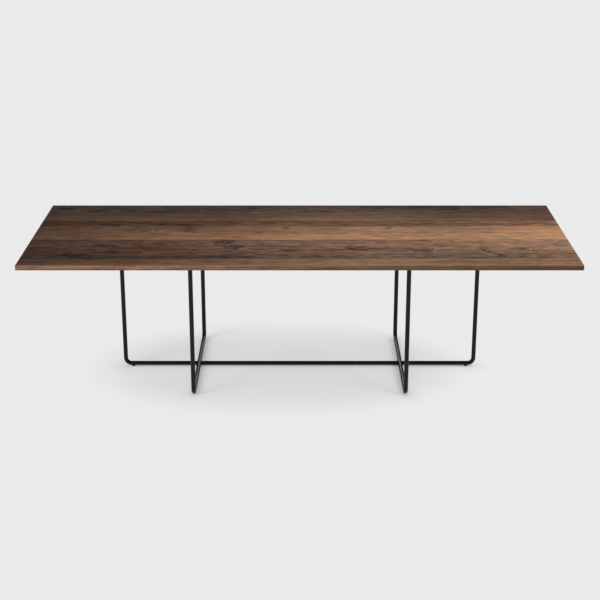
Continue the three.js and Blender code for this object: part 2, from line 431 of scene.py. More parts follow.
RAGGED_EDGES = Pattern((16.0, 60.0, 60.0), 5.0, roughness=0.68)

# How marks and rings are drawn: a mark's distances in its half sizes, a ring's in ring gaps
RAGGEDNESS = (1.9, 1.9, 0.0)
KNOT_CORE = 0.1
KNOT_RIM = 1.25
KNOT_BEND = 4.0
KNOT_BEND_REACH = 2.8
NEAR_KNOT = (0.2, 1.5)
FAR_RIPPLES = 0.25
SCRATCH_CORE = 0.2
FLECK_SLANT = 0.12
VEIN_WIDTH = 0.03
SWAY_REACH = (0.0, 0.05, 0.03)
JITTER_REACH = 1.1
LATE_WOOD = (0.15, 0.86, 0.9)
LATE_WEIGHT = 0.55
FAINTEST_RING = 0.3

# Ranges of the surface's normal over which a face counts as upper, lower, long side or end
FACING_UP = (0.5, 0.9)
FACING_DOWN = (-0.7, 0.0)
FACING_SIDE = (0.4, 0.9)
FACING_END = (0.6, 0.95)

# Tones of the wood, with the painted light and painted shade on it
COOL_TINT = (0.95, 1.0, 1.0)
WARM_TINT = (1.05, 0.99, 0.92)
FLECK_COLOUR = (0.68, 0.54, 0.44)
MIDDLE_TONE = 0.545
RING_LIFT = 0.15
END_GRAIN_SHADE = 0.55
END_GRAIN_EVENNESS = 0.65
# Brightness of faces that look down, a painted shade
UNDERSIDE_PAINTED_SHADE = 0.5
KNOT_SHADE = 0.25
# Height below the top over which the long edges get a painted highlight
HIGHLIGHT_DEPTH = 0.009
# Where along the table the brightness peaks, a brightness that is partly the boards' tone and partly
# painted light
SHADE_PEAK = 0.3
# Brightness from the table's left end to its right end, a painted fall of the light
LIGHT_FALL_ALONG = ((0.0, 1.0), (0.2, 0.98), (0.35, 0.91), (0.5, 1.03), (0.65, 1.04), (0.8, 0.9), (0.94, 1.07))


@dataclass(frozen=True)
class Mark:
    """A knot, a dark burr or a pale scratch in a board's face.

    Attributes:
        x: Its middle along the table.
        y: Its middle across the table.
        length: Half its size along the grain.
        width: Half its size across the grain.
        depth: How much it changes the wood in its middle, from 0 to 1.
        turn: Its slant, in radians.
    """

    x: float
    y: float
    length: float
    width: float
    depth: float
    turn: float = 0.0

    def distance(self, graph: NodeGraph, ragged: Socket) -> Socket:
        """How far the surface is from the mark's middle.

        Args:
            graph: The board's nodes.
            ragged: What makes the mark's outline uneven.

        Returns:
            The distance, which is about 1 on the outline.
        """
        centre = Matrix.Rotation(-self.turn, 2) @ Vector((self.x, self.y))
        turned = graph.stretched((1.0, 1.0, 1.0), turn=-self.turn)
        nearby = graph.vector_math("SUBTRACT", turned, (centre.x, centre.y, 0.0))
        nearby = graph.vector_math("MULTIPLY", nearby, (1 / self.length, 1 / self.width, 0.0))
        return graph.vector_math("LENGTH", graph.vector_math("ADD", nearby, ragged))


@dataclass(frozen=True)
class WoodFinish:
    """Oiled dark wood whose rings, fibres and pores run through the whole board.

    Attributes:
        pale: Colour of the lightest wood.
        body: Colour of most of the wood.
        deep: Colour of the darkest rings and streaks.
        shades: Brightness at the table's left end, near its middle and at its right end, partly the board's
            own tone and partly painted light.
        front_shade: Brightness at the board's front edge.
        back_shade: Brightness at the board's back edge.
        ring_gap: Distance between growth rings.
        pith_rise: Height of the tree's centre above the board's middle.
        pith_offset: Distance of the tree's centre from the board's middle, towards the back.
        climb: How much the tree's centre rises per metre along the board.
        figure: How strongly the rings show.
        patchiness: How strongly the wide streaks show.
        mottle: How strongly short dashes along the grain show.
        flecks: How strongly pale flecks show round the knots.
        left_tint: Colour that the table's left end is stained with.
        side_shade: Brightness of the long edges, darker than the top, partly their own tone and partly
            painted shade.
        side_tint: Colour that the long edges are stained with.
        side_highlight: How much lighter the long edges are near the top, a painted highlight.
        roughness: Roughness of the smoothest wood, and what hairs and pores add to it.
        heights: How far hairs stand up, and how far pores and late wood lie below, from 0 to 1.
        relief: Depth of a height of 1.
        relief_strength: How much of the relief shows.
        sheen: Strength of the surface's reflection.
        knots: The knots in its face.
        scratches: The pale scratches in its face.
    """

    pale: Triple
    body: Triple
    deep: Triple
    shades: Triple
    front_shade: float = 1.0
    back_shade: float = 1.0
    ring_gap: float = 0.007
    pith_rise: float = -0.09
    pith_offset: float = 0.02
    climb: float = 0.03
    figure: float = 0.5
    patchiness: float = 0.6
    mottle: float = 0.6
    flecks: float = 0.3
    left_tint: Triple = (1.0, 1.0, 1.0)
    side_shade: float = 0.46
    side_tint: Triple = (1.0, 0.86, 0.74)
    side_highlight: float = 0.45
    roughness: Triple = (0.5, 0.16, 0.2)
    heights: Triple = (0.5, 0.6, 0.25)
    relief: float = 0.00025
    relief_strength: float = 0.6
    sheen: float = 0.12
    knots: tuple[Mark, ...] = ()
    scratches: tuple[Mark, ...] = ()

    def marks(self, graph: NodeGraph) -> tuple[Number, Number, Number]:
        """Where the knots and scratches are, and how far the rings bend round the knots.

        Args:
            graph: The board's nodes.

        Returns:
            The darkness of the knots, the push that they give the rings, and the strength of the scratches.
        """
        ragged = graph.sway(RAGGED_EDGES, RAGGEDNESS)
        knots = [(knot.depth, knot.distance(graph, ragged)) for knot in self.knots]
        scratches = [(scratch.depth, scratch.distance(graph, ragged)) for scratch in self.scratches]
        dark = [graph.remap(away, KNOT_CORE, KNOT_RIM, depth, 0.0) for depth, away in knots]
        push = [graph.remap(away, 0.0, KNOT_BEND_REACH, KNOT_BEND * depth, 0.0) for depth, away in knots]
        pale = [graph.remap(away, SCRATCH_CORE, 1.0, depth, 0.0) for depth, away in scratches]
        return graph.largest(0.0, *dark), graph.total(0.0, *push), graph.largest(0.0, *pale)

    def rings(self, graph: NodeGraph, middle: Vector, seed: float, push: Number) -> Socket:
        """Growth rings cut by the board's faces.

        Args:
            graph: The board's nodes.
            middle: The middle of the board.
            seed: Shift of the random patterns.
            push: How far the knots bend the rings.

        Returns:
            How much late wood there is, from 0 to 1.
        """
        wander = graph.sway(RING_SWAY, SWAY_REACH, (seed, seed, 0.0))
        pith = (0.0, middle.y + self.pith_offset, middle.z + self.pith_rise)
        from_pith = graph.vector_math("SUBTRACT", graph.vector_math("ADD", graph.place, wander), pith)
        along, across, up = graph.split(from_pith)
        up = graph.math("SUBTRACT", up, graph.product(along, self.climb))
        squares = graph.total(graph.product(across, across), graph.product(up, up))
        count = graph.math("DIVIDE", graph.math("SQRT", squares), self.ring_gap)
        jitter = graph.product(graph.value(RING_JITTER, (seed, 0.0, seed)), JITTER_REACH)
        phase = graph.math("FRACT", graph.total(count, jitter, push))
        start, peak, end = LATE_WOOD
        rise = graph.remap(phase, start, peak, 0.0, 1.0)
        fall = graph.remap(phase, end, 1.0, 1.0, 0.0)
        strength = graph.value(RING_STRENGTH, (seed, seed, seed))
        return graph.product(rise, fall, graph.patches(strength, RING_STRENGTH, FAINTEST_RING))

    def tone(self, graph: NodeGraph, late: Socket, hairs: Socket, near: Socket, seed: float) -> Socket:
        """How light the wood is before its knots: rings, streaks, dashes, fibres and dark lines.

        Args:
            graph: The board's nodes.
            late: How much late wood there is.
            hairs: The finest fibres.
            near: How near a knot is, from 0 to 1.
            seed: Shift of the random patterns.

        Returns:
            The tone from 0, dark, to 1, light.
        """
        by_knot = graph.remap(near, 0.0, 1.0, FAR_RIPPLES, 1.0)
        ripples = graph.product(graph.swing(RIPPLES, (seed, 0.0, seed)), by_knot)
        parts = [
            graph.product(graph.swing(pattern, shift), pattern.weight * strength)
            for pattern, shift, strength in (
                (WIDE_STREAKS, (seed, seed, 0.0), self.patchiness),
                (NARROW_STREAKS, (0.0, seed, seed), self.patchiness),
                (BROAD_DASHES, (seed, seed, 7.0), self.mottle),
                (DASHES, (seed, 9.0, seed), self.mottle),
                (SHORT_DASHES, (9.0, seed, seed), self.mottle),
                (FIBRES, (seed, 0.0, 0.0), 1.0),
            )
        ]
        parts.append(graph.product(ripples, RIPPLES.weight * self.mottle))
        parts.append(graph.product(graph.math("SUBTRACT", hairs, 0.5), HAIRS.weight))
        parts.append(graph.product(late, -LATE_WEIGHT * self.figure))
        tone = graph.total(MIDDLE_TONE + RING_LIFT * self.figure, *parts)
        from_vein = graph.math("ABSOLUTE", graph.swing(VEINS, (seed, 1.0, 2.0)))
        veins = graph.remap(from_vein, 0.0, VEIN_WIDTH, VEINS.weight * self.patchiness, 0.0)
        lines = graph.value(GRAIN_LINES, (seed, 4.0, seed))
        lines = graph.patches(lines, GRAIN_LINES, 0.0, GRAIN_LINES.weight)
        return graph.math("SUBTRACT", graph.math("SUBTRACT", tone, veins), lines)

    def shade(self, graph: NodeGraph, low: Vector, high: Vector, side: Socket) -> Socket:
        """How the board darkens towards its ends and its edges, partly in its own tone and partly as
        painted light, with painted shade and a painted highlight on the long edges.

        Args:
            graph: The board's nodes.
            low: The board's lowest corner.
            high: The board's highest corner.
            side: How much the surface faces sideways.

        Returns:
            The brightness factor.
        """
        left, centre, right = self.shades
        x, y, z = graph.split(graph.place)
        # Rise and fall along the table, partly the board's tone and partly painted light
        rise = graph.remap(x, low.x, SHADE_PEAK, left, centre, smooth=False)
        more = graph.remap(x, SHADE_PEAK, high.x, 1.0, right / centre, smooth=False)
        edges = graph.remap(y, low.y, high.y, self.front_shade, self.back_shade, smooth=False)
        stretch = graph.remap(x, low.x, high.x, 0.0, 1.0, smooth=False)
        # Painted fall of the light along the table
        ends = graph.ramp(stretch, [(place, (value, value, value)) for place, value in LIGHT_FALL_ALONG])
        top = graph.product(rise, more, edges, ends)
        # Painted shade on the long edges, with a painted highlight along their tops
        highlit_side = self.side_shade * (1 + self.side_highlight)
        side_lighting = graph.remap(z, high.z - HIGHLIGHT_DEPTH, high.z, self.side_shade, highlit_side)
        return graph.total(top, graph.product(side, graph.math("SUBTRACT", side_lighting, top)))

    def material(self, name: str, low: Vector, high: Vector, seed: float) -> Material:
        """The wood of one board.

        Args:
            name: The material's name.
            low: The board's lowest corner.
            high: The board's highest corner.
            seed: Shift of the random patterns.

        Returns:
            The material.
        """
        graph = SurfaceGraph(name)
        dark, push, scratched = self.marks(graph)
        late = self.rings(graph, (low + high) / 2, seed, push)
        hairs = graph.value(HAIRS, (0.0, seed, 0.0))
        pores = graph.patches(graph.value(PORES, (0.0, 0.0, seed)), PORES)
        near = graph.remap(push, *NEAR_KNOT, 0.0, 1.0)
        along, across, up = graph.split(graph.add("ShaderNodeNewGeometry").outputs["Normal"])
        side = graph.remap(graph.math("ABSOLUTE", across), *FACING_SIDE, 0.0, 1.0)
        at_end = graph.remap(graph.math("ABSOLUTE", along), *FACING_END, 0.0, 1.0)

        stops = ((0.0, self.deep), (0.5, self.body), (1.0, self.pale))
        colour = graph.ramp(self.tone(graph, late, hairs, near, seed), stops)
        drift = graph.patches(graph.value(COLOUR_DRIFT, (seed, 5.0, seed)), COLOUR_DRIFT)
        colour = graph.mix(1.0, colour, graph.mix(drift, COOL_TINT, WARM_TINT), "MULTIPLY")
        knot_colour = tuple(KNOT_SHADE * part for part in self.deep)
        colour = graph.mix(dark, colour, knot_colour)
        flecks = graph.patches(graph.value(FLECKS, (seed, 0.0, 0.0), FLECK_SLANT), FLECKS, 0.0, self.flecks)
        colour = graph.mix(graph.product(flecks, near), colour, FLECK_COLOUR)
        colour = graph.mix(graph.product(pores, PORES.weight), colour, knot_colour)
        splinters = graph.product(graph.patches(hairs, HAIRS), graph.remap(up, *FACING_UP, 0.0, 1.0))
        colour = graph.mix(graph.product(scratched, splinters), colour, FLECK_COLOUR)
        colour = graph.mix(graph.product(at_end, END_GRAIN_EVENNESS), colour, self.body)

        leftward = graph.remap(graph.split(graph.place)[0], low.x, SHADE_PEAK, 1.0, 0.0, smooth=False)
        colour = graph.mix(leftward, colour, self.left_tint, "MULTIPLY")
        colour = graph.mix(side, colour, self.side_tint, "MULTIPLY")
        end_grain = graph.remap(at_end, 0.0, 1.0, 1.0, END_GRAIN_SHADE, smooth=False)
        # Painted shade on faces that look down
        below = graph.remap(up, *FACING_DOWN, UNDERSIDE_PAINTED_SHADE, 1.0)
        shade = graph.product(self.shade(graph, low, high, side), end_grain, below)
        colour = graph.mix(1.0, colour, graph.grey(shade), "MULTIPLY")

        smooth, hair_rough, pore_rough = self.roughness
        rough = graph.total(smooth, graph.product(hairs, hair_rough), graph.product(pores, pore_rough))
        hair_rise, pore_drop, late_drop = self.heights
        drops = (graph.product(pores, -pore_drop), graph.product(late, -late_drop))
        height = graph.total(graph.product(hairs, hair_rise), *drops)
        graph.surface(Base_Color=colour, Roughness=rough, Specular_IOR_Level=self.sheen)
        graph.bump(height, self.relief, self.relief_strength)
        return graph.material


@dataclass(frozen=True)
class PaintFinish:
    """Black satin powder coat with a fine orange-peel skin.

    Attributes:
        colour: Colour of most of it.
        worn_colour: Colour of its clouds.
        sheen_tint: Colour of its reflection.
        sheen: Strength of its reflection.
        roughness: Roughness where it is smoothest.
        relief: Depth of the skin.
        relief_strength: How much of the relief shows.
        clouds: Where colour and roughness change.
        peel: The skin's ripples.
        specks: The skin's finest grains.
    """

    colour: Triple = (0.0042, 0.006, 0.0085)
    worn_colour: Triple = (0.007, 0.0095, 0.013)
    sheen_tint: Triple = (0.86, 0.95, 1.0)
    sheen: float = 0.24
    roughness: float = 0.3
    relief: float = 0.00002
    relief_strength: float = 0.5
    clouds: Pattern = Pattern((9.0, 9.0, 9.0), 4.0, 0.35, 0.75, weight=0.16)
    peel: Pattern = Pattern((700.0, 700.0, 700.0), 1.0)
    specks: Pattern = Pattern((2600.0, 2600.0, 2600.0), 1.0, weight=0.3)

    def material(self, name: str) -> Material:
        """The paint.

        Args:
            name: The material's name.

        Returns:
            The material.
        """
        graph = SurfaceGraph(name)
        clouds = graph.value(self.clouds)
        colour = graph.mix(graph.patches(clouds, self.clouds), self.colour, self.worn_colour)
        rough = graph.total(graph.product(clouds, self.clouds.weight), self.roughness)
        specks = graph.product(graph.value(self.specks), self.specks.weight)
        graph.surface(Base_Color=colour, Roughness=rough)
        graph.surface(Specular_IOR_Level=self.sheen, Specular_Tint=(*self.sheen_tint, 1.0))
        graph.bump(graph.total(graph.value(self.peel), specks), self.relief, self.relief_strength)
        return graph.material


@dataclass(frozen=True)
class SteelFinish:
    """Plated or blackened steel with fine turning marks.

    Attributes:
        colour: Colour of most of it.
        dull_colour: Colour of its clouds.
        roughness: Roughness where it is smoothest.
        relief: Depth of the turning marks.
        relief_strength: How much of the relief shows.
        clouds: Where colour and roughness change.
        turning: The turning marks.
    """

    colour: Triple
    dull_colour: Triple
    roughness: float = 0.24
    relief: float = 0.00003
    relief_strength: float = 0.5
    clouds: Pattern = Pattern((160.0, 160.0, 160.0), 3.0, 0.35, 0.7, weight=0.24)
    turning: Pattern = Pattern((300.0, 300.0, 5200.0), 2.0)

    def material(self, name: str) -> Material:
        """The bare metal.

        Args:
            name: The material's name.

        Returns:
            The material.
        """
        graph = SurfaceGraph(name)
        clouds = graph.value(self.clouds)
        colour = graph.mix(graph.patches(clouds, self.clouds), self.colour, self.dull_colour)
        rough = graph.total(graph.product(clouds, self.clouds.weight), self.roughness)
        graph.surface(Base_Color=colour, Roughness=rough, Metallic=1.0)
        graph.bump(graph.value(self.turning), self.relief, self.relief_strength)
        return graph.material


@dataclass(frozen=True)
class PlasticFinish:
    """Moulded black plastic with a fine matt grain.

    Attributes:
        colour: Colour of most of it.
        scuffed_colour: Colour of its scuffs.
        roughness: Roughness where it is smoothest.
        relief: Depth of the grain.
        relief_strength: How much of the relief shows.
        grain: The mould's grain.
        scuffs: Where it is scuffed.
    """

    colour: Triple = (0.011, 0.011, 0.012)
    scuffed_colour: Triple = (0.03, 0.03, 0.031)
    roughness: float = 0.45
    relief: float = 0.00005
    relief_strength: float = 0.6
    grain: Pattern = Pattern((1500.0, 1500.0, 1500.0), 2.0, weight=0.2)
    scuffs: Pattern = Pattern((220.0, 220.0, 90.0), 4.0, 0.5, 0.75)

    def material(self, name: str) -> Material:
        """The plastic.

        Args:
            name: The material's name.

        Returns:
            The material.
        """
        graph = SurfaceGraph(name)
        grain = graph.value(self.grain)
        scuffs = graph.patches(graph.value(self.scuffs), self.scuffs)
        colour = graph.mix(scuffs, self.colour, self.scuffed_colour)
        rough = graph.total(graph.product(grain, self.grain.weight), self.roughness)
        graph.surface(Base_Color=colour, Roughness=rough)
        graph.bump(grain, self.relief, self.relief_strength)
        return graph.material


def meshed(name: str, mesh: Mesh) -> bpy.types.Mesh:
    """Keep a finished mesh as data, and free it.

    Args:
        name: The data's name.
        mesh: The mesh.

    Returns:
        The data.
    """
    data = bpy.data.meshes.new(name)
    mesh.to_mesh(data)
    mesh.free()
    return data


def placed(name: str, data: bpy.types.ID) -> Piece:
    """Put a mesh, a lamp or a camera into the scene.

    Args:
        name: The object's name.
        data: What it shows.

    Returns:
        The object, at the origin.
    """
    thing = bpy.data.objects.new(name, data)
    bpy.context.scene.collection.objects.link(thing)
    return thing


def middle_of(node: str) -> Vector:
    """The middle of a node's box."""
    low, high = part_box(node)
    return (low + high) / 2


def quarter_turn(steps: int) -> list[float]:
    """Angles from 0 to a right angle, in radians."""
    return [math.pi / 2 * step / steps for step in range(steps + 1)]


def set_down(
    name: str,
    mesh: Mesh,
    material: Material,
    node: str,
    body: str = FRAME_BODY,
    crease: float = 35.0,
) -> Piece:
    """Turn a finished mesh into a piece that rides on its body.

    Args:
        name: The piece's name.
        mesh: Its mesh, in place, which is freed.
        material: Its material.
        node: The node that it stands for.
        body: The body that carries it.
        crease: Edges sharper than this many degrees stay sharp.

    Returns:
        The new object.
    """
    bmesh.ops.recalc_face_normals(mesh, faces=mesh.faces)
    for face in mesh.faces:
        face.smooth = True
    data = meshed(name, mesh)
    data.set_sharp_from_angle(angle=math.radians(crease))
    data.materials.append(material)
    piece = placed(name, data)
    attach(piece, body)
    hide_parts(node)
    LOG.info("%s: %d faces on %s", name, len(data.polygons), body)
    return piece


def repaint(nodes: Iterable[str], material: Material) -> None:
    """Give carried-over nodes a finish.

    Args:
        nodes: The nodes' names.
        material: Their material.
    """
    for name in nodes:
        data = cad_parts[name].data
        data.materials.clear()
        data.materials.append(material)
        LOG.info("%s keeps its own shape", name)


def rounded(mesh: Mesh, edges: list[Edge], offset: float, steps: int) -> None:
    """Round a group of edges.

    Args:
        mesh: The mesh that they are in.
        edges: The edges.
        offset: How far the rounding reaches.
        steps: How many faces it has.
    """
    bmesh.ops.bevel(
        mesh,
        geom=edges,
        offset=offset,
        offset_type="OFFSET",
        affect="EDGES",
        segments=steps,
        profile=0.5,
        material=-1,
    )


def drawn_out(mesh: Mesh, edges: Sequence[Edge], move: Vector) -> list[Edge]:
    """Extrude a loop of edges.

    Args:
        mesh: The mesh that it is in.
        edges: The loop.
        move: How far and which way.

    Returns:
        The loop's new edges.
    """
    made = bmesh.ops.extrude_edge_only(mesh, edges=edges)["geom"]
    corners = [part for part in made if isinstance(part, bmesh.types.BMVert)]
    bmesh.ops.translate(mesh, verts=corners, vec=move)
    ring = set(corners)
    return [e for e in made if isinstance(e, Edge) and set(e.verts) <= ring]


def circle(mesh: Mesh, sides: int, radius: float, place: Matrix) -> list[bmesh.types.BMVert]:
    """Add an open loop of edges.

    Args:
        mesh: The mesh that gets it.
        sides: How many edges it has.
        radius: Its radius.
        place: Where it lies, with its axis along Z.

    Returns:
        Its corners.
    """
    made = bmesh.ops.create_circle(mesh, cap_ends=False, segments=sides, radius=radius, matrix=place)
    return made["verts"]


def turned_profile(
    profile: Sequence[tuple[float, float]], centre: Vector, steps: int, closed: bool = True
) -> Mesh:
    """A solid of revolution about an upright axis.

    Args:
        profile: Radii and heights, in order.
        centre: A point on the axis at height 0 of the profile.
        steps: How many sides it has.
        closed: Whether loose ends off the axis are filled.

    Returns:
        The mesh.
    """
    mesh = bmesh.new()
    points = [mesh.verts.new(centre + Vector((radius, 0.0, height))) for radius, height in profile]
    edges = [mesh.edges.new(pair) for pair in zip(points, points[1:])]
    bmesh.ops.spin(
        mesh,
        geom=points + edges,
        cent=centre,
        axis=(0.0, 0.0, 1.0),
        angle=math.tau,
        steps=steps,
        use_merge=True,
    )
    bmesh.ops.remove_doubles(mesh, verts=mesh.verts, dist=SAME_PLACE)
    if closed:
        bmesh.ops.holes_fill(mesh, edges=mesh.edges)
    return mesh


@dataclass
class TableTop:
    """The six boards and the loose tongues between them.

    Attributes:
        finishes: The boards' finishes from the back to the front.
        top_arris: Rounding of the top's upper edges.
        underside_arris: Rounding of the top's lower edges.
        joint_ease: Rounding of the edges where boards meet.
        groove_gap: Room round a tongue.
        arris_steps: How many faces a rounding has.
        seed_step: Shift of the random patterns from one board to the next.
    """

    finishes: tuple[WoodFinish, ...]
    top_arris: float = 0.001
    underside_arris: float = 0.004
    joint_ease: float = 0.0003
    groove_gap: float = 0.0003
    arris_steps: int = 4
    seed_step: float = 3.7

    def nodes(self) -> list[str]:
        """The boards' nodes from the back to the front."""
        return [f"top_board_{number}" for number in range(1, len(self.finishes) + 1)]

    def tongues(self) -> list[str]:
        """The tongues' nodes from the back to the front."""
        return [f"board_tongue_{number}" for number in range(1, len(self.finishes))]

    def groove(self, mesh: Mesh, face: bmesh.types.BMFace, tongue: str) -> None:
        """Sink the groove for a tongue into a board's side.

        Args:
            mesh: The board's mesh.
            face: The side, still a plain rectangle.
            tongue: The tongue's node.
        """
        low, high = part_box(tongue)
        low -= Vector((self.groove_gap,) * 3)
        high += Vector((self.groove_gap,) * 3)
        inward = -face.normal.copy()
        side = face.calc_center_median().y
        bmesh.ops.inset_individual(mesh, faces=[face], thickness=self.groove_gap)
        middle = face.calc_center_median()
        for corner in face.verts:
            corner.co.x = high.x if corner.co.x > middle.x else low.x
            corner.co.z = high.z if corner.co.z > middle.z else low.z
        made = bmesh.ops.extrude_discrete_faces(mesh, faces=[face])["faces"]
        reach = abs((high.y if inward.y > 0 else low.y) - side)
        bmesh.ops.translate(mesh, verts=made[0].verts, vec=inward * reach)

    def board(self, index: int) -> Mesh:
        """One board, grooved for its tongues, with its edges eased.

        Args:
            index: Its place from the back.

        Returns:
            The mesh.
        """
        low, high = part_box(self.nodes()[index])
        mesh = bmesh.new()
        bmesh.ops.create_cube(mesh, size=1.0)
        bmesh.ops.scale(mesh, vec=high - low, verts=mesh.verts)
        bmesh.ops.translate(mesh, vec=(low + high) / 2, verts=mesh.verts)
        mesh.normal_update()
        last = len(self.finishes) - 1
        joined_back = index > 0
        joined_front = index < last
        for face in list(mesh.faces):
            facing = round(face.normal.y)
            if (facing > 0 and joined_back) or (facing < 0 and joined_front):
                self.groove(mesh, face, self.tongues()[index - 1 if facing > 0 else index])

        def flat(edge: Edge, axis: int, value: float) -> bool:
            """Whether an edge lies at a value of an axis."""
            return all(abs(corner.co[axis] - value) < SAME_PLACE for corner in edge.verts)

        def seam(edge: Edge) -> bool:
            """Whether an edge lies on a side that meets another board."""
            return (flat(edge, 1, low.y) and joined_front) or (flat(edge, 1, high.y) and joined_back)

        def outside(edge: Edge) -> bool:
            """Whether an edge lies on the outline of the whole top."""
            at_end = flat(edge, 0, low.x) or flat(edge, 0, high.x)
            return at_end or ((flat(edge, 1, low.y) or flat(edge, 1, high.y)) and not seam(edge))

        for height, wanted, offset in (
            (low.z, outside, self.underside_arris),
            (high.z, outside, self.top_arris),
            (high.z, seam, self.joint_ease),
        ):
            edges = [edge for edge in mesh.edges if flat(edge, 2, height) and wanted(edge)]
            rounded(mesh, edges, offset, self.arris_steps)
        return mesh

    def build(self, tongue_material: Material) -> list[Piece]:
        """Make and dress every board, and finish the tongues.

        Args:
            tongue_material: The tongues' material.

        Returns:
            The boards.
        """
        pieces = []
        for index, (node, finish) in enumerate(zip(self.nodes(), self.finishes)):
            low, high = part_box(node)
            name = f"board_{index + 1}"
            slot = f"{name}_wood"
            wood = finish.material(slot, low, high, self.seed_step * (index + 1))
            pieces.append(set_down(name, self.board(index), wood, node))
        repaint(self.tongues(), tongue_material)
        return pieces


